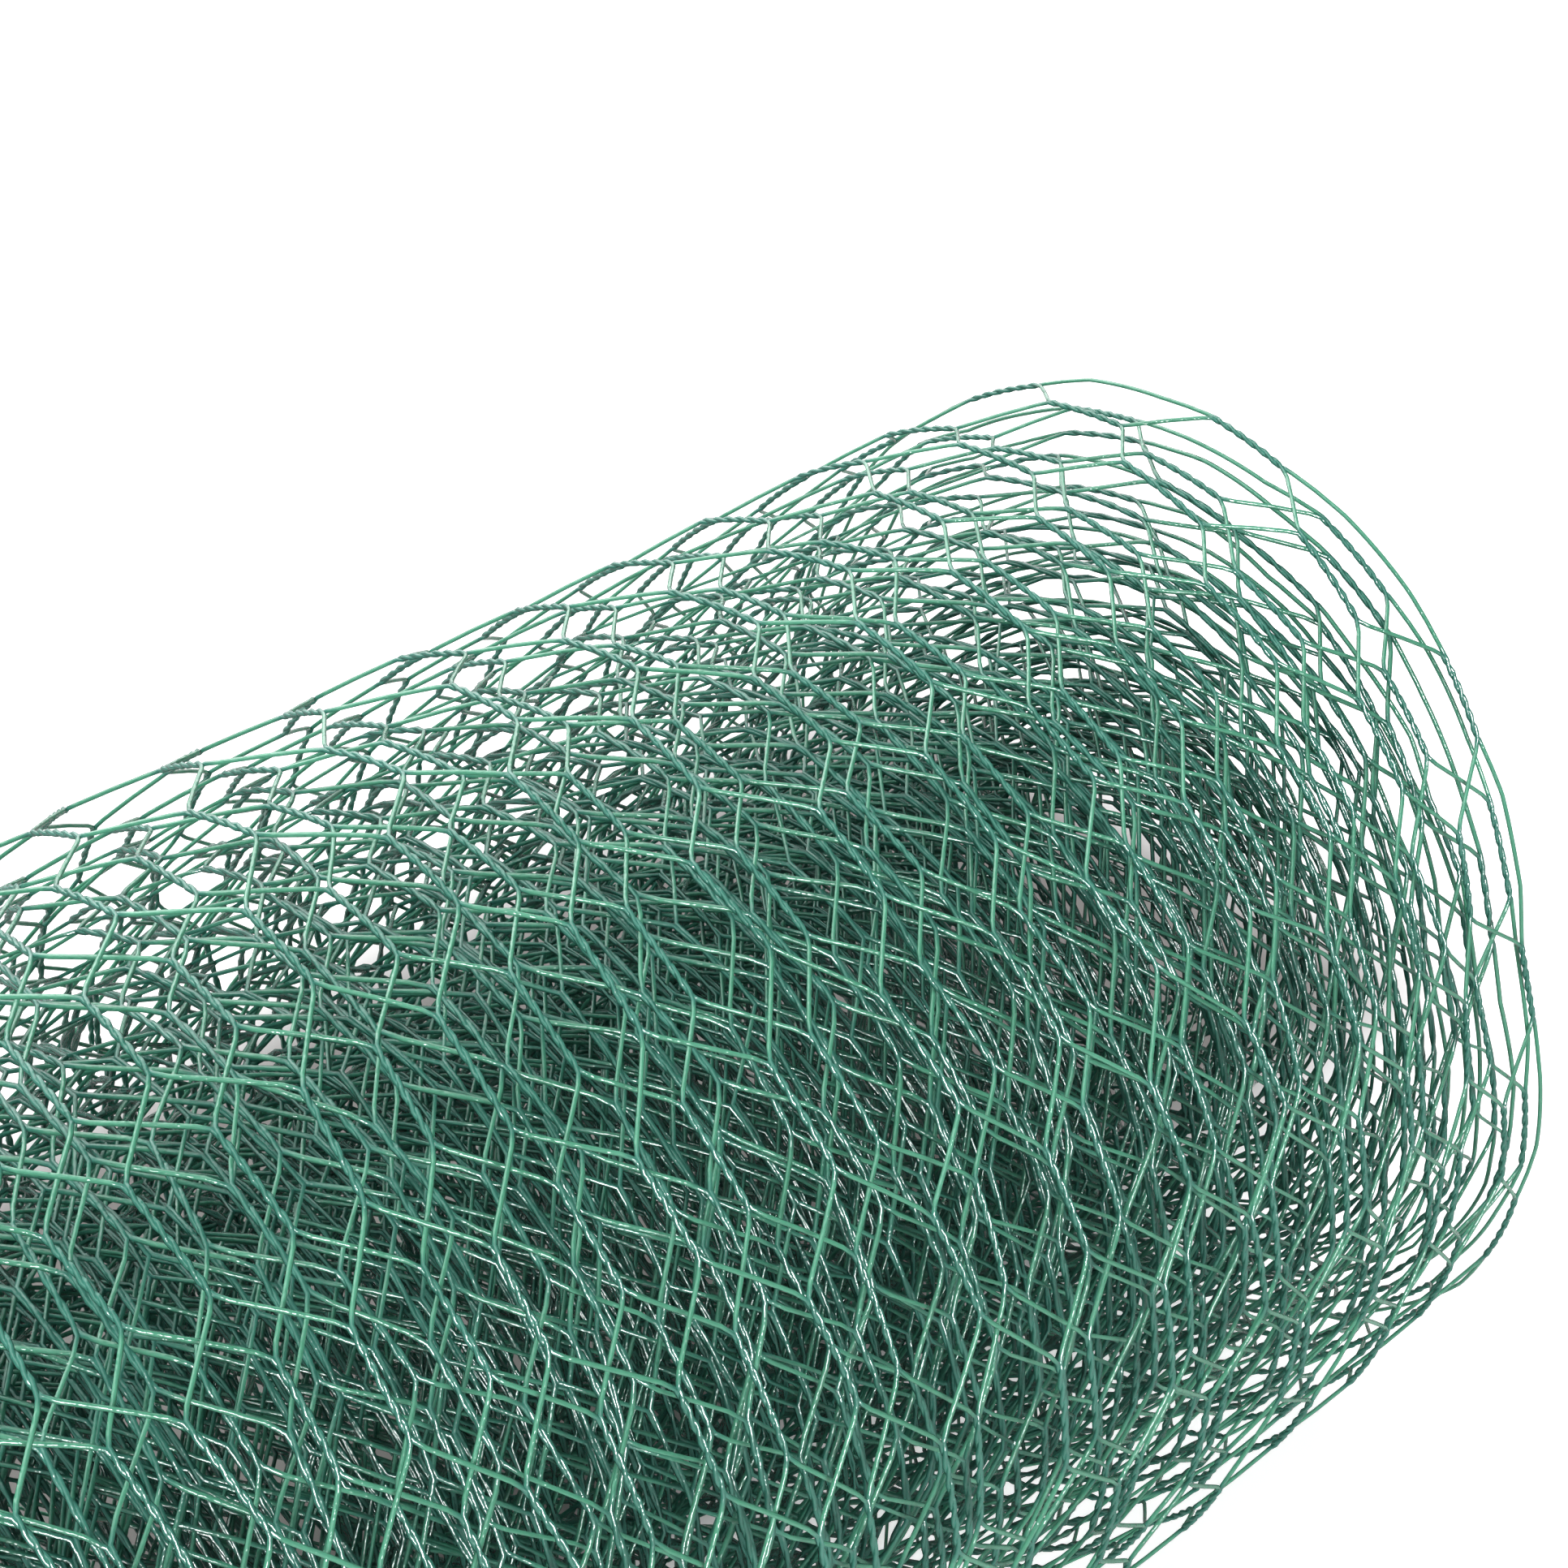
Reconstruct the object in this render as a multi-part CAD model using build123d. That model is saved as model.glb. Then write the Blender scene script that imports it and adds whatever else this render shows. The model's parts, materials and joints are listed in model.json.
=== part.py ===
"""Roll of hexagonal wire netting, lying on its side.

The netting is one long strip wound on itself, so the roll is one turned solid with an open bore.
The edge of every turn stands out of both ends as a ring, tight at the bore and loose at the rim.
Millimetres. The roll's axis lies along X, and the origin is on the floor below its middle.
"""

import os

from build123d import *

# Roll
OUTER_DIAMETER = 222.0
BORE_DIAMETER = 56.0
ROLL_WIDTH = 500.0

# Netting, as it shows on the ends
MESH_WIDTH = 25.0
WIRE_DIAMETER = 0.8
WIRES_IN_A_TWIST = 2
TWIST_SQUEEZE_SHARE = 0.9
INNER_TURN_GAP = 0.3
OUTER_TURN_GAP = 2.7
LOOSENING_POWER = 2

# Worked out
outer_radius = OUTER_DIAMETER / 2
bore_radius = BORE_DIAMETER / 2
half_width = ROLL_WIDTH / 2
turn_thickness = WIRES_IN_A_TWIST * WIRE_DIAMETER * TWIST_SQUEEZE_SHARE
groove_floor = half_width - MESH_WIDTH / 2


def turn_radii():
    """Inner radius of each turn, from the bore out, with gaps that widen ever faster towards the rim."""
    reach = outer_radius - bore_radius - turn_thickness
    first_pitch = turn_thickness + INNER_TURN_GAP
    loosening = (OUTER_TURN_GAP - INNER_TURN_GAP) / (LOOSENING_POWER + 1)
    mean_pitch = first_pitch + loosening
    steps = max(1, round(reach / mean_pitch))
    stretch = reach / (mean_pitch * steps)
    radii = []
    for step in range(steps + 1):
        pitch_so_far = first_pitch + loosening * (step / steps) ** LOOSENING_POWER
        radii.append(bore_radius + pitch_so_far * step * stretch)
    return radii


def end_outline(side):
    """One end's outline as (x, radius) points from the bore to the rim: rings with grooves between."""
    points = []
    for radius in turn_radii():
        if points:
            points.append((side * groove_floor, points[-1][1]))
            points.append((side * groove_floor, radius))
        points.append((side * half_width, radius))
        points.append((side * half_width, radius + turn_thickness))
    return points


def wire_netting_roll():
    """The whole roll, turned about X and set down on the floor."""
    outline = end_outline(1) + end_outline(-1)[::-1]
    section = make_face(Polyline(*outline, close=True))
    return Pos(0, 0, outer_radius) * revolve(section, Axis.X)


roll = wire_netting_roll()
os.makedirs("parts", exist_ok=True)
export_step(roll, "parts/wire_netting_roll.step")
print("turns", len(turn_radii()), "volume", round(roll.volume), "box", roll.bounding_box().size)
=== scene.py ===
"""Looks of a roll of hexagonal wire netting: every wire of every turn, its coating, the light and the view.

Metres, in the frame of the solid roll: its axis along X, the floor at height zero.
A place on the strip of netting is (laid, across, height): how far along the strip it is from the bore,
how far across it from the middle, and how far outside the turn's own surface.
"""

import json
import math

import bpy
import numpy as np
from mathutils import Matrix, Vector


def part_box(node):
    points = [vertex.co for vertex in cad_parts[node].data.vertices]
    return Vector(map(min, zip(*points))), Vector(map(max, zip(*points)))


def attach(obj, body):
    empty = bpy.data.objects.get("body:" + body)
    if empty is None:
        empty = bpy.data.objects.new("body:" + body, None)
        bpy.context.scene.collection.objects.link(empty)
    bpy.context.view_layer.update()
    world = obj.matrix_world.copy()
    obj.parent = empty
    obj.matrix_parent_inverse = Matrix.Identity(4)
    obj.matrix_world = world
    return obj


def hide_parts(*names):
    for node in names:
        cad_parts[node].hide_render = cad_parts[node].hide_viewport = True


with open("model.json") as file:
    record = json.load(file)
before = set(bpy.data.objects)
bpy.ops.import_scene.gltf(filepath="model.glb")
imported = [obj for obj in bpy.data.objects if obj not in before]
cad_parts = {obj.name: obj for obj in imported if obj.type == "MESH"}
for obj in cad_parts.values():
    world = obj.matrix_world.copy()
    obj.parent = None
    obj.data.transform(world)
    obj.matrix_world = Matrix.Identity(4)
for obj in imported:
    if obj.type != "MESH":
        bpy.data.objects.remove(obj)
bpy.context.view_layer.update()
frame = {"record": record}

MM = 0.001
FULL_TURN = 2 * math.pi
ROLL = "wire_netting_roll"
BODY = "root"

# Roll, as the solid gives it
low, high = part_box(ROLL)
mounts = {mount["name"]: mount for mount in frame["record"]["mounts"]}
bore_radius = mounts["core_bore"]["dims"]["r_mm"] * MM
outer_radius = (high.z - low.z) / 2
axis_height = (high.z + low.z) / 2
roll_width = high.x - low.x
far_end = high.x

# Netting
MESH_WIDTH = 25.0 * MM
ROW_PITCH = 32.4 * MM
TWIST_LENGTH = 19.0 * MM
WIRE_RADIUS = 0.40 * MM
STRAND_OFFSET = 0.30 * MM
strand_reach = STRAND_OFFSET + WIRE_RADIUS
meshes_across = round(roll_width / MESH_WIDTH)
netting_width = roll_width - 2 * strand_reach
mesh_width = netting_width / meshes_across
wire_count = 2 * meshes_across + 2

# Winding: tight at the bore, loose at the rim, with the middle turns sunk by their weight
INNER_TURN_PITCH = 1.72 * MM
OUTER_TURN_PITCH = 4.1 * MM
LOOSENING_POWER = 2
SINK = 12.0 * MM
SINK_SPAN_SHARE = 1.04
FREE_END_ANGLE = math.radians(198.0)

# Unevenness of woven and handled netting
SEED = 7
KNOT_SPREAD = 0.6 * MM
WARP = 1.5 * MM
WARP_WAVES = (80 * MM, 260 * MM)
OUTER_RIPPLE = 1.3 * MM
INNER_RIPPLE = 0.3 * MM
RIPPLE_WAVES = (90 * MM, 350 * MM)
PRESSED_RIPPLE_SHARE = 0.25
EDGE_DRIFT = 2.0 * MM
DRIFT_WAVES = (300 * MM, 900 * MM)
WAVES_PER_FIELD = 9
BEND_EASE_SHARE = 0.35

# Far edge, bent by handling: angle round the roll, depth and spread of each bend
EDGE_BENDS = (
    (math.radians(70.0), -10.0 * MM, math.radians(21.0)),
    (math.radians(6.0), 4.0 * MM, math.radians(20.0)),
)
BENT_WIDTH = 70 * MM

# Pieces from the rim to the bore: name, rows of mesh, sides of a wire, steps and turns of a twist,
# the shares of a diagonal at which it has a point, and the share of its colour faded by light and free of
# the painted shade that darkens the core
FINE_DIAGONAL_SHARES = (0.13, 0.5, 0.87)
MIDDLE_DIAGONAL_SHARES = (0.2, 0.8)
COARSE_DIAGONAL_SHARES = (0.5,)
PIECES = (
    ("outer_turn", 21, 5, 14, 3, FINE_DIAGONAL_SHARES, 1.0),
    ("second_turn", 21, 5, 12, 3, FINE_DIAGONAL_SHARES, 0.95),
    ("loose_turns_outside", 31, 4, 8, 2, MIDDLE_DIAGONAL_SHARES, 0.85),
    ("loose_turns_inside", 31, 4, 8, 2, MIDDLE_DIAGONAL_SHARES, 0.7),
    ("wound_core_outside", 60, 4, 4, 1, COARSE_DIAGONAL_SHARES, 0.4),
    ("wound_core_middle", 120, 3, 3, 1, COARSE_DIAGONAL_SHARES, 0.1),
    ("wound_core_inside", None, 3, 3, 1, COARSE_DIAGONAL_SHARES, 0.0),
)


def lerp(start, end, share):
    """The value that lies a share of the way from start to end."""
    return start + (end - start) * share


def ease(share):
    """A share that starts and ends gently."""
    return share * share * (3 - 2 * share)


def sink_at(depth_share):
    """How far a turn's centre lies above the roll's axis, from 0 at the bore to 1 at the free end."""
    return -SINK * np.sin(math.pi * SINK_SPAN_SHARE * depth_share)


# The spiral as a table: turn number, laid length and radius, from the bore to the free end
TABLE_STEPS = 6001
first_radius = bore_radius + strand_reach
last_radius = outer_radius - strand_reach + sink_at(1.0)
pitch_gain = OUTER_TURN_PITCH - INNER_TURN_PITCH
mean_pitch = INNER_TURN_PITCH + pitch_gain / (LOOSENING_POWER + 1)
turn_count = (last_radius - first_radius) / mean_pitch
turn_table = np.linspace(0, turn_count, TABLE_STEPS)
loosening = (turn_table / turn_count)**LOOSENING_POWER / (LOOSENING_POWER + 1)
radius_table = first_radius + (INNER_TURN_PITCH + pitch_gain * loosening) * turn_table
step_lengths = FULL_TURN * (radius_table[1:] + radius_table[:-1]) / 2 * np.diff(turn_table)
laid_table = np.concatenate(([0.0], np.cumsum(step_lengths)))
laid_length = laid_table[-1]
row_count = int((laid_length - TWIST_LENGTH) / ROW_PITCH) + 1

random = np.random.default_rng(SEED)


def make_waves(lengths):
    """Random waves over the strip, each with its two wave numbers and its phase."""
    wave = FULL_TURN / random.uniform(*lengths, WAVES_PER_FIELD)
    heading = random.uniform(0, FULL_TURN, WAVES_PER_FIELD)
    phase = random.uniform(0, FULL_TURN, WAVES_PER_FIELD)
    return list(zip(wave * np.cos(heading), wave * np.sin(heading), phase))


def hills(waves, laid, across):
    """Gentle hills over the strip, about one high."""
    total = sum(np.sin(a * laid + b * across + phase) for a, b, phase in waves)
    return total / math.sqrt(WAVES_PER_FIELD / 2)


warp_laid_waves = make_waves(WARP_WAVES)
warp_across_waves = make_waves(WARP_WAVES)
ripple_waves = make_waves(RIPPLE_WAVES)
drift_waves = make_waves(DRIFT_WAVES)

# How far both ends of every twist are off their places, along, across and out of the strip
TWIST_ENDS = 2
STRIP_WAYS = 3
knot_spread = random.normal(0, KNOT_SPREAD, (TWIST_ENDS, STRIP_WAYS, row_count, meshes_across + 2))


def edge_bend(angle, across):
    """How far the far edge is bent outwards, fading to nothing away from it."""
    near_share = np.clip((across - netting_width / 2) / BENT_WIDTH + 1, 0, 1)
    bend = sum(depth * np.exp((np.cos(angle - middle) - 1) / spread**2)
               for middle, depth, spread in EDGE_BENDS)
    return bend * ease(near_share)


def on_roll(laid, across, height):
    """Places on the strip as points in space, with the way out of the roll at each."""
    to_free_end = laid_length - laid
    laid_here = laid + WARP * hills(warp_laid_waves, to_free_end, across)
    laid_here = np.clip(laid_here, 0, laid_length)
    turn = np.interp(laid_here, laid_table, turn_table)
    radius = np.interp(laid_here, laid_table, radius_table)
    depth_share = (radius - first_radius) / (last_radius - first_radius)
    angle = FREE_END_ANGLE + FULL_TURN * (turn - turn_count)
    free_share = lerp(PRESSED_RIPPLE_SHARE, 1.0, (1 + np.cos(angle)) / 2)
    ripple = lerp(INNER_RIPPLE, OUTER_RIPPLE, depth_share) * free_share
    reach = radius + height + ripple * hills(ripple_waves, to_free_end, across)
    reach = reach + depth_share * edge_bend(angle, across)
    edge_share = 1 - (across / (netting_width / 2))**2
    x = across + edge_share * WARP * hills(warp_across_waves, to_free_end, across)
    slipped_share = np.clip(to_free_end / (FULL_TURN * outer_radius), 0, 1)
    x = x + EDGE_DRIFT * slipped_share * np.tanh(hills(drift_waves, to_free_end, 0))
    out = np.stack((0 * angle, -np.sin(angle), np.cos(angle)), -1)
    points = out * reach[..., None]
    points[..., 0] = x
    points[..., 2] += axis_height + sink_at(depth_share)
    points[..., 2] = np.maximum(points[..., 2], strand_reach)
    return points, out


def twist_layout(rows):
    """For each wire in each row: its twist's place among the row's twists, centre across, and side."""
    wires = np.arange(wire_count)[:, None]
    on_edge = (row_count - 1 - rows[None, :]) % 2 == 1
    number = np.where(on_edge, wires // 2, (wires - 1) // 2)
    centre = (number + np.where(on_edge, 0.0, 0.5)) * mesh_width - netting_width / 2
    centre = np.clip(centre, -netting_width / 2, netting_width / 2)
    side = np.where((wires % 2 == 0) == on_edge, -1.0, 1.0)
    edge_wire = (wires == 0) | (wires == wire_count - 1)
    side = np.where(wires == 0, -1.0, np.where(wires == wire_count - 1, 1.0, side))
    twisted = ~(edge_wire & ~on_edge)
    return number + 1, centre, side, twisted


def wire_places(rows, steps, turns, diagonal_shares):
    """The places that every wire follows through these rows, each with 1 in a twist and 0 outside one."""
    number, centre, side, twisted = twist_layout(rows)
    row_grid = np.broadcast_to(rows[None, :], number.shape)
    starts = knot_spread[0][:, row_grid, number]
    ends = knot_spread[1][:, row_grid, number]
    row_laid = laid_length - TWIST_LENGTH - (row_count - 1 - row_grid) * ROW_PITCH
    share = np.linspace(0, 1, steps + 1)
    swing = FULL_TURN * turns * share * twisted[..., None]
    offset = STRAND_OFFSET * side[..., None]
    along = lerp(starts[0][..., None], ends[0][..., None], share)
    across = lerp(starts[1][..., None], ends[1][..., None], share)
    height = lerp(starts[2][..., None], ends[2][..., None], share)
    twist = np.stack((
        row_laid[..., None] + TWIST_LENGTH * share + along,
        centre[..., None] + across + offset * np.cos(swing),
        height + offset * np.sin(swing),
    ), -1)
    leave = twist[:, :-1, -1:, :]
    meet = twist[:, 1:, :1, :]
    t = np.array(diagonal_shares)[:, None]
    eased = lerp(t, ease(t), BEND_EASE_SHARE)
    diagonal = np.concatenate((
        lerp(leave[..., :1], meet[..., :1], t),
        lerp(leave[..., 1:2], meet[..., 1:2], eased),
        lerp(leave[..., 2:], meet[..., 2:], t),
    ), -1)
    runs = np.concatenate((twist[:, :-1], diagonal), 2)
    twist_shares = np.broadcast_to(1.0 * twisted[..., None], twist.shape[:-1])
    shares = np.concatenate((twist_shares[:, :-1], np.zeros(diagonal.shape[:-1])), 2)
    runs = runs.reshape(wire_count, -1, STRIP_WAYS)
    shares = shares.reshape(wire_count, -1)
    return runs, shares, twist[:, -1], twist_shares[:, -1]


def unit(vectors):
    """The vectors at length one."""
    return vectors / np.linalg.norm(vectors, axis=-1, keepdims=True)


def tube_rings(points, out, sides):
    """Rings of vertices round each wire's line, as wide on average as the round wire."""
    ahead = unit(np.gradient(points, axis=1))
    across = unit(np.cross(ahead, out))
    outward = np.cross(across, ahead)
    corner = WIRE_RADIUS * math.pi / (sides * math.sin(math.pi / sides))
    turn = FULL_TURN * (np.arange(sides) + 0.5) / sides
    rings = points[:, :, None, :] + corner * (
        np.cos(turn)[:, None] * across[:, :, None, :] + np.sin(turn)[:, None] * outward[:, :, None, :])
    return rings


def tube_faces(wires, length, sides):
    """Vertex numbers of the side quads and of the two end caps of every wire."""
    ring = np.arange(wires * length).reshape(wires, length, 1) * sides
    here = np.arange(sides)
    after = (here + 1) % sides
    quads = np.stack(np.broadcast_arrays(
        ring[:, :-1] + here, ring[:, :-1] + after, ring[:, 1:] + after, ring[:, 1:] + here), -1)
    first_caps = ring[:, 0] + here[::-1]
    last_caps = ring[:, -1] + here
    return quads.reshape(-1, 4), np.concatenate((first_caps, last_caps))


def mesh_object(name, vertices, quads, caps):
    """A smooth mesh object made from arrays."""
    mesh = bpy.data.meshes.new(name)
    mesh.vertices.add(len(vertices))
    mesh.vertices.foreach_set("co", vertices.astype(np.float32).ravel())
    corners = np.concatenate((quads.ravel(), caps.ravel()))
    sizes = np.concatenate((np.full(len(quads), quads.shape[1]), np.full(len(caps), caps.shape[1])))
    mesh.loops.add(len(corners))
    mesh.loops.foreach_set("vertex_index", corners.astype(np.int32))
    mesh.polygons.add(len(sizes))
    mesh.polygons.foreach_set("loop_start", (np.cumsum(sizes) - sizes).astype(np.int32))
    mesh.polygons.foreach_set("loop_total", sizes.astype(np.int32))
    mesh.polygons.foreach_set("use_smooth", np.ones(len(sizes), bool))
    mesh.update(calc_edges=True)
    mesh.validate()
    piece = bpy.data.objects.new(name, mesh)
    bpy.context.scene.collection.objects.link(piece)
    return piece


def netting_piece(name, rows, is_last, sides, steps, turns, diagonal_shares, faded_unshaded_share):
    """One piece of the strip: every wire through these rows, each a closed tube."""
    runs, shares, last_twist, last_shares = wire_places(rows, steps, turns, diagonal_shares)
    kept = last_twist.shape[1] if is_last else 1
    places = np.concatenate((runs, last_twist[:, :kept]), 1)
    shares = np.concatenate((shares, last_shares[:, :kept]), 1)
    points, out = on_roll(places[..., 0], places[..., 1], places[..., 2])
    rings = tube_rings(points, out, sides)
    quads, caps = tube_faces(wire_count, points.shape[1], sides)
    piece = mesh_object(name, rings.reshape(-1, 3), quads, caps)
    twisted = piece.data.attributes.new(TWIST_ATTRIBUTE, "FLOAT", "POINT")
    twisted.data.foreach_set("value", np.repeat(shares.ravel(), sides).astype(np.float32))
    piece.data.materials.append(coating_material(name + "_coating", faded_unshaded_share))
    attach(piece, BODY)
    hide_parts(ROLL)
    print(name, "triangles", 2 * len(quads) + len(caps) * (sides - 2))


def build_netting():
    """All pieces of the strip, from the free end in to the bore."""
    end = row_count - 1
    for name, rows, *shape, faded_unshaded_share in PIECES:
        start = max(0, end - rows) if rows else 0
        is_last = end == row_count - 1
        netting_piece(name, np.arange(start, end + 1), is_last, *shape, faded_unshaded_share)
        end = start


class Nodes:
    """A material's node tree, with short ways to add a node and link it."""

    def __init__(self, tree):
        self.tree = tree
        self.tree.nodes.clear()

    def add(self, kind, **settings):
        node = self.tree.nodes.new(kind)
        for name, value in settings.items():
            setattr(node, name, value)
        return node

    def link(self, source, target):
        self.tree.links.new(source, target)


# Coating: fresh and faded greens in soft clouds, the fresh ones darkened as painted shade in the core,
# the painted shade and dullness on the twists, and lumps that break its shine
TWIST_ATTRIBUTE = "twisted"
# Painted shade: the twists' colour is multiplied darker and bluer
TWIST_PAINTED_SHADE = (0.52, 0.62, 0.73, 1)
RAMP_SHARES = (0.30, 0.72)
# Greens of the core, darker as painted shade, and of the outer turns, lighter and faded by light
SHADED_FRESH_GREENS = ((0.050, 0.232, 0.148), (0.074, 0.295, 0.196))
UNSHADED_FADED_GREENS = ((0.084, 0.335, 0.208), (0.124, 0.425, 0.278))
CLOUD_SCALE = 38.0
CLOUD_DETAIL = 3.0
LUMP_SCALE = 640.0
LUMP_DETAIL = 2.0
LUMP_HEIGHT = 0.32 * MM
LUMP_STRENGTH = 1.0
GLOSSY_ROUGHNESS = 0.06
DULL_ROUGHNESS = 0.16
TWIST_DULLNESS = 0.14
COATING_IOR = 1.6


def coating_material(name, faded_unshaded_share):
    """Glossy green coating with soft clouds of colour and lumps, duller on the twists, with painted shade
    on the twists and in the core.
    """
    material = bpy.data.materials.new(name)
    material.use_nodes = True
    nodes = Nodes(material.node_tree)
    output = nodes.add("ShaderNodeOutputMaterial")
    shader = nodes.add("ShaderNodeBsdfPrincipled")
    shader.inputs["IOR"].default_value = COATING_IOR
    nodes.link(shader.outputs["BSDF"], output.inputs["Surface"])
    place = nodes.add("ShaderNodeTexCoord").outputs["Object"]

    cloud = nodes.add("ShaderNodeTexNoise")
    cloud.inputs["Scale"].default_value = CLOUD_SCALE
    cloud.inputs["Detail"].default_value = CLOUD_DETAIL
    nodes.link(place, cloud.inputs["Vector"])
    colours = nodes.add("ShaderNodeValToRGB")
    # From the core's greens, darkened as painted shade, to the outer turns' greens, faded by light
    greens = lerp(np.array(SHADED_FRESH_GREENS), np.array(UNSHADED_FADED_GREENS), faded_unshaded_share)
    for step, place_share, green in zip(colours.color_ramp.elements, RAMP_SHARES, greens):
        step.position = place_share
        step.color = (*green, 1)
    nodes.link(cloud.outputs["Fac"], colours.inputs["Fac"])
    # Painted shade on the twists: their colour is multiplied darker and bluer
    twisted = nodes.add("ShaderNodeAttribute", attribute_name=TWIST_ATTRIBUTE)
    twist_shaded = nodes.add("ShaderNodeMix", data_type="RGBA", blend_type="MULTIPLY")
    twist_shaded.inputs["B"].default_value = TWIST_PAINTED_SHADE
    nodes.link(twisted.outputs["Fac"], twist_shaded.inputs["Factor"])
    nodes.link(colours.outputs["Color"], twist_shaded.inputs["A"])
    nodes.link(twist_shaded.outputs["Result"], shader.inputs["Base Color"])

    lumps = nodes.add("ShaderNodeTexNoise")
    lumps.inputs["Scale"].default_value = LUMP_SCALE
    lumps.inputs["Detail"].default_value = LUMP_DETAIL
    nodes.link(place, lumps.inputs["Vector"])
    gloss = nodes.add("ShaderNodeMapRange")
    gloss.inputs["To Min"].default_value = GLOSSY_ROUGHNESS
    gloss.inputs["To Max"].default_value = DULL_ROUGHNESS
    nodes.link(lumps.outputs["Fac"], gloss.inputs["Value"])
    roughness = nodes.add("ShaderNodeMath", operation="MULTIPLY_ADD")
    roughness.inputs[1].default_value = TWIST_DULLNESS
    nodes.link(twisted.outputs["Fac"], roughness.inputs[0])
    nodes.link(gloss.outputs["Result"], roughness.inputs[2])
    nodes.link(roughness.outputs[0], shader.inputs["Roughness"])
    bump = nodes.add("ShaderNodeBump")
    bump.inputs["Strength"].default_value = LUMP_STRENGTH
    bump.inputs["Distance"].default_value = LUMP_HEIGHT
    nodes.link(lumps.outputs["Fac"], bump.inputs["Height"])
    nodes.link(bump.outputs["Normal"], shader.inputs["Normal"])
    return material


# Floor: its colours, how much it glows beside the roll, far away and in the coating's shine, and where
SEEN_FLOOR = (0.95, 0.95, 0.95, 1)
SHADED_FLOOR = (0.30, 0.29, 0.28, 1)
BOUNCING_FLOOR = (0.70, 0.70, 0.70, 1)
NEAR_LIFT = 0.60
FAR_LIFT = 1.0
MIRRORED_LIFT = 0.12
LIFT_STARTS = 0.35
LIFT_ENDS = 1.2
FLOOR_HALF = 15.0

# Painted shade on the floor behind the roll, where its shadow from the window lamp falls: its middle, half
# its size and the width of its soft edge
SHADE_MIDDLE = (0.06, 0.105, 0)
SHADE_HALF = (0.30, 0.075, 0)
SHADE_FADE = 0.06


def floor_material():
    """A floor seen as plain white away from the roll, with painted shade behind it, which bounces less
    light.
    """
    material = bpy.data.materials.new("white_floor")
    material.use_nodes = True
    nodes = Nodes(material.node_tree)
    output = nodes.add("ShaderNodeOutputMaterial")
    path = nodes.add("ShaderNodeLightPath")
    seen = nodes.add("ShaderNodeMath", operation="MAXIMUM")
    nodes.link(path.outputs["Is Camera Ray"], seen.inputs[0])
    nodes.link(path.outputs["Is Transmission Ray"], seen.inputs[1])

    place = nodes.add("ShaderNodeTexCoord").outputs["Object"]
    from_shade = nodes.add("ShaderNodeVectorMath", operation="SUBTRACT")
    from_shade.inputs[1].default_value = SHADE_MIDDLE
    nodes.link(place, from_shade.inputs[0])
    aside = nodes.add("ShaderNodeVectorMath", operation="ABSOLUTE")
    nodes.link(from_shade.outputs[0], aside.inputs[0])
    outside = nodes.add("ShaderNodeVectorMath", operation="SUBTRACT")
    outside.inputs[1].default_value = SHADE_HALF
    nodes.link(aside.outputs[0], outside.inputs[0])
    beside = nodes.add("ShaderNodeVectorMath", operation="MAXIMUM")
    nodes.link(outside.outputs[0], beside.inputs[0])
    gap = nodes.add("ShaderNodeVectorMath", operation="LENGTH")
    nodes.link(beside.outputs[0], gap.inputs[0])
    clear = nodes.add("ShaderNodeMapRange", interpolation_type="SMOOTHSTEP")
    clear.inputs["From Max"].default_value = SHADE_FADE
    nodes.link(gap.outputs["Value"], clear.inputs["Value"])

    # Painted shade: the seen floor turns grey behind the roll
    seen_colour = nodes.add("ShaderNodeMix", data_type="RGBA")
    seen_colour.inputs["A"].default_value = SHADED_FLOOR
    seen_colour.inputs["B"].default_value = SEEN_FLOOR
    nodes.link(clear.outputs["Result"], seen_colour.inputs["Factor"])
    colour = nodes.add("ShaderNodeMix", data_type="RGBA")
    colour.inputs["A"].default_value = BOUNCING_FLOOR
    nodes.link(seen_colour.outputs["Result"], colour.inputs["B"])
    nodes.link(seen.outputs[0], colour.inputs["Factor"])
    matt = nodes.add("ShaderNodeBsdfDiffuse")
    nodes.link(colour.outputs["Result"], matt.inputs["Color"])

    away = nodes.add("ShaderNodeVectorMath", operation="LENGTH")
    nodes.link(place, away.inputs[0])
    lift = nodes.add("ShaderNodeMapRange", interpolation_type="SMOOTHSTEP")
    lift.inputs["From Min"].default_value = LIFT_STARTS
    lift.inputs["From Max"].default_value = LIFT_ENDS
    lift.inputs["To Min"].default_value = NEAR_LIFT
    lift.inputs["To Max"].default_value = FAR_LIFT
    nodes.link(away.outputs["Value"], lift.inputs["Value"])
    # The floor's glow is also taken away in the painted shade
    glowing = nodes.add("ShaderNodeMath", operation="MULTIPLY")
    nodes.link(lift.outputs["Result"], glowing.inputs[0])
    nodes.link(clear.outputs["Result"], glowing.inputs[1])
    mirrored = nodes.add("ShaderNodeMath", operation="MULTIPLY")
    mirrored.inputs[1].default_value = MIRRORED_LIFT
    nodes.link(path.outputs["Is Glossy Ray"], mirrored.inputs[0])
    strength = nodes.add("ShaderNodeMath", operation="MULTIPLY_ADD")
    nodes.link(seen.outputs[0], strength.inputs[0])
    nodes.link(glowing.outputs[0], strength.inputs[1])
    nodes.link(mirrored.outputs[0], strength.inputs[2])
    glow = nodes.add("ShaderNodeEmission")
    nodes.link(strength.outputs[0], glow.inputs["Strength"])

    both = nodes.add("ShaderNodeAddShader")
    nodes.link(matt.outputs[0], both.inputs[0])
    nodes.link(glow.outputs[0], both.inputs[1])
    nodes.link(both.outputs[0], output.inputs["Surface"])
    return material


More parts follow.
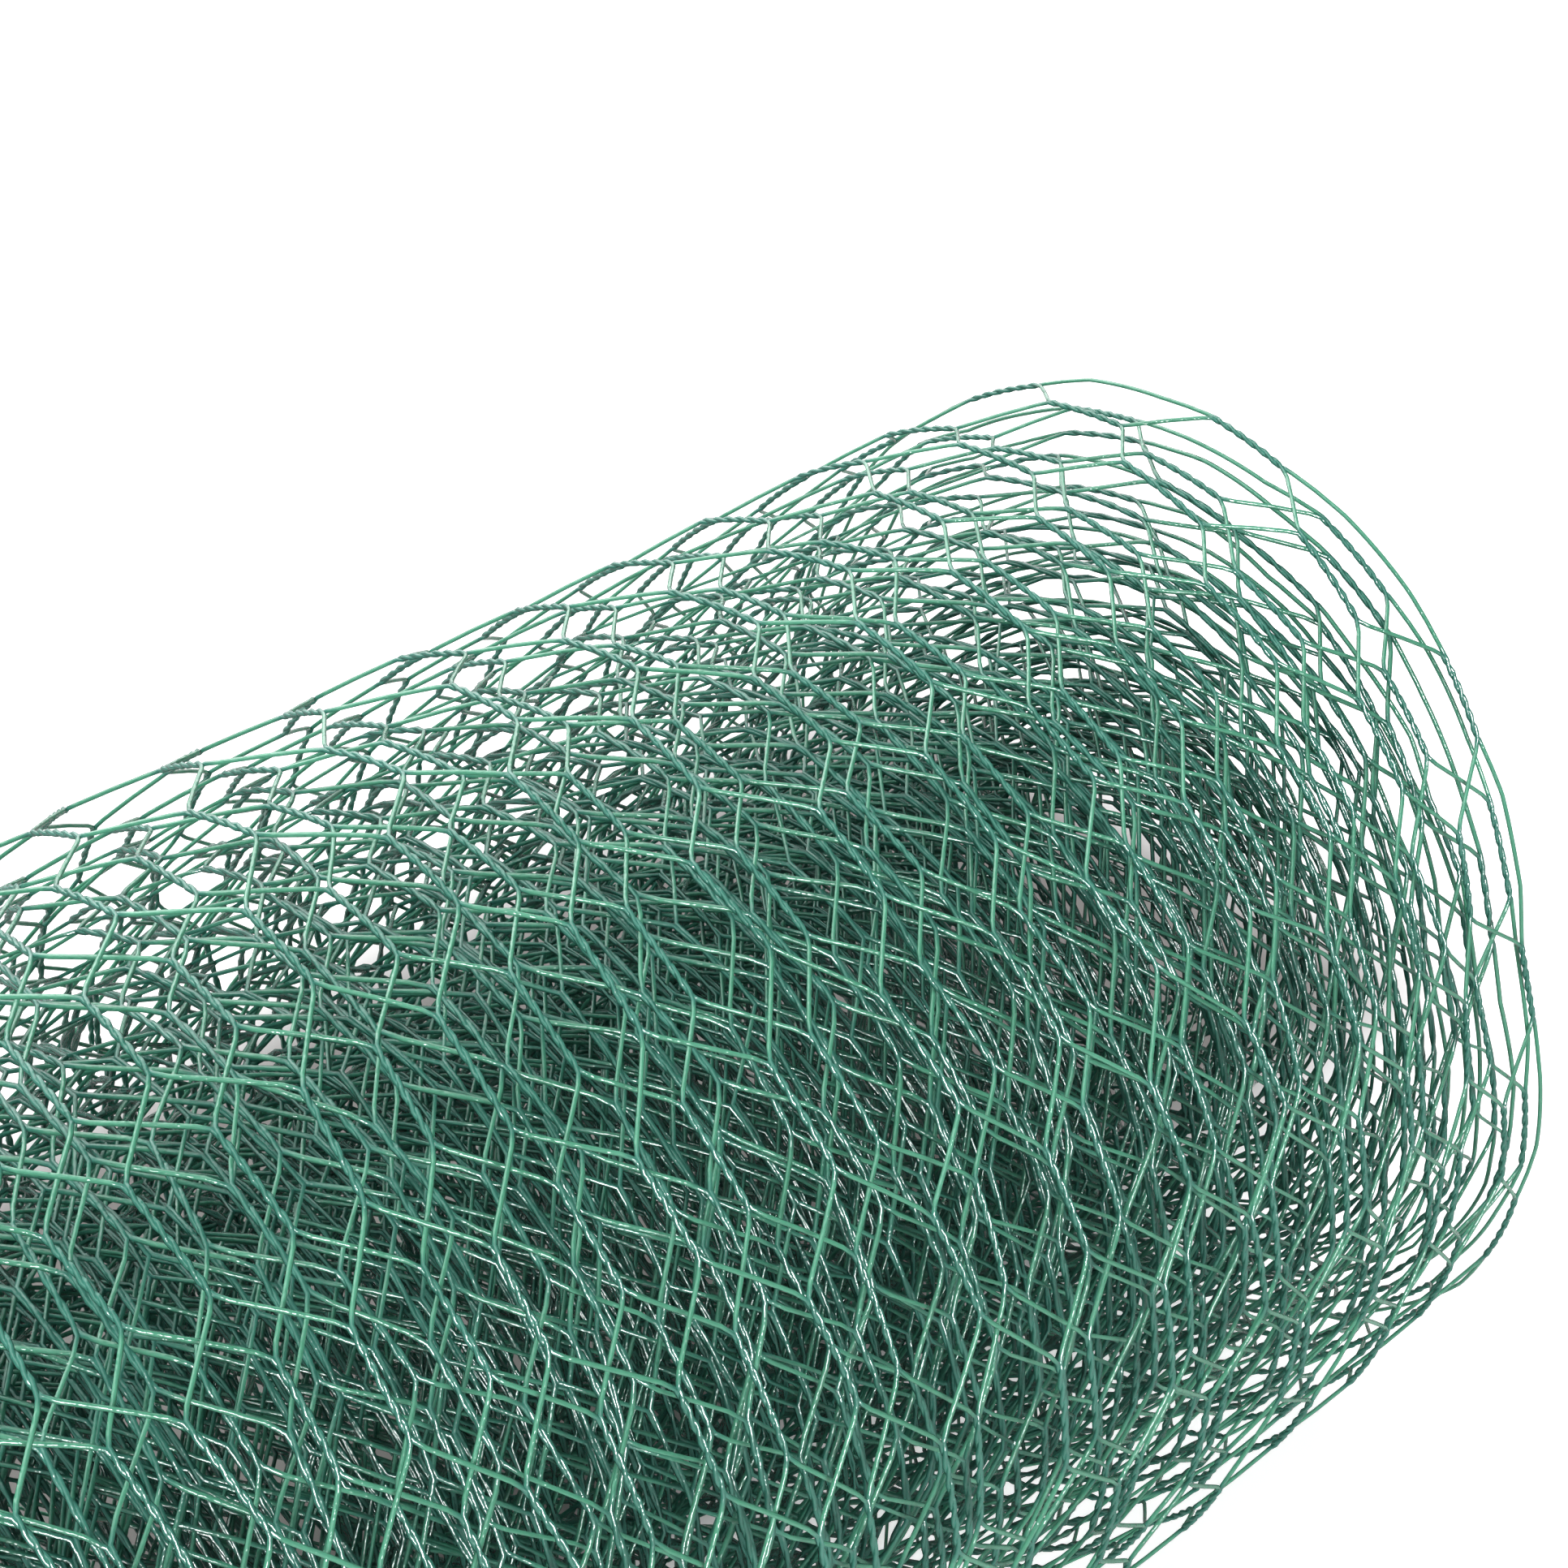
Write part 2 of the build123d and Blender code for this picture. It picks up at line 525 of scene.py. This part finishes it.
def build_floor():
    """A large flat floor under the roll."""
    corners = [(-FLOOR_HALF, -FLOOR_HALF, 0), (FLOOR_HALF, -FLOOR_HALF, 0),
               (FLOOR_HALF, FLOOR_HALF, 0), (-FLOOR_HALF, FLOOR_HALF, 0)]
    mesh = bpy.data.meshes.new("floor")
    mesh.from_pydata(corners, [], [(0, 1, 2, 3)])
    floor = bpy.data.objects.new("floor", mesh)
    bpy.context.scene.collection.objects.link(floor)
    mesh.materials.append(floor_material())


# World: its colour, its light on the roll and its strength where it is seen
WHITE = (1.0, 1.0, 1.0, 1)
WORLD_LIGHT = 0.035
SEEN_WORLD = 1.0


def build_world():
    """An even white surround, lifted to plain white where it is seen."""
    world = bpy.data.worlds.new("white_surround")
    world.use_nodes = True
    bpy.context.scene.world = world
    nodes = Nodes(world.node_tree)
    output = nodes.add("ShaderNodeOutputWorld")
    sky = nodes.add("ShaderNodeBackground")
    sky.inputs["Color"].default_value = WHITE
    path = nodes.add("ShaderNodeLightPath")
    strength = nodes.add("ShaderNodeMapRange")
    strength.inputs["To Min"].default_value = WORLD_LIGHT
    strength.inputs["To Max"].default_value = SEEN_WORLD
    nodes.link(path.outputs["Is Camera Ray"], strength.inputs["Value"])
    nodes.link(strength.outputs["Result"], sky.inputs["Strength"])
    nodes.link(sky.outputs[0], output.inputs["Surface"])


# Lamps: name, way to it from the roll, distance, size, watts, and whether it shows only in the shine
WINDOW_WAY = (-0.31, -0.80, 0.51)
LAMPS = (
    ("window_light", WINDOW_WAY, 1.7, 0.6, 19.0, False),
    ("window_shine", WINDOW_WAY, 1.7, 0.62, 145.0, True),
    ("overhead_light", (-0.40, -0.12, 0.91), 1.7, 1.2, 8.0, False),
    ("ceiling_light", (-0.12, 0.66, 0.85), 1.6, 1.8, 31.0, False),
    ("backdrop_shine", (0.45, 0.80, 0.40), 2.0, 2.4, 50.0, True),
)


def build_lamps():
    """A window on the viewer's side, two wide lights above, and two lamps that show only in the shine."""
    centre = Vector((0, 0, axis_height))
    for name, way, distance, size, watts, only_shine in LAMPS:
        way = Vector(way)
        light = bpy.data.lights.new(name, "AREA")
        light.size = size
        light.energy = watts
        lamp = bpy.data.objects.new(name, light)
        lamp.location = centre + way.normalized() * distance
        lamp.rotation_euler = way.to_track_quat("Z", "Y").to_euler()
        lamp.visible_camera = False
        lamp.visible_diffuse = not only_shine
        bpy.context.scene.collection.objects.link(lamp)


# Camera, as fitted to the knots of the outer turn in the photograph
FROM_FAR_END = Vector((-0.3818, -0.2896, 0.3543))
HEADING = math.radians(46.6)
LOOKING_DOWN = math.radians(35.0)
SENSOR = 36.0
LENS = 61.5


def build_camera():
    """The camera above and in front of the roll, looking along it to its far end."""
    lens = bpy.data.cameras.new("camera")
    lens.sensor_width = SENSOR
    lens.lens = LENS
    camera = bpy.data.objects.new("camera", lens)
    camera.location = Vector((far_end, 0, axis_height)) + FROM_FAR_END
    quarter = math.pi / 2
    camera.rotation_euler = (quarter - LOOKING_DOWN, 0, HEADING - quarter)
    bpy.context.scene.collection.objects.link(camera)
    bpy.context.scene.camera = camera


bpy.context.scene.view_settings.view_transform = "Standard"
build_netting()
build_floor()
build_world()
build_lamps()
build_camera()
print("turns", round(turn_count, 2), "laid length", round(laid_length, 3), "rows", row_count)
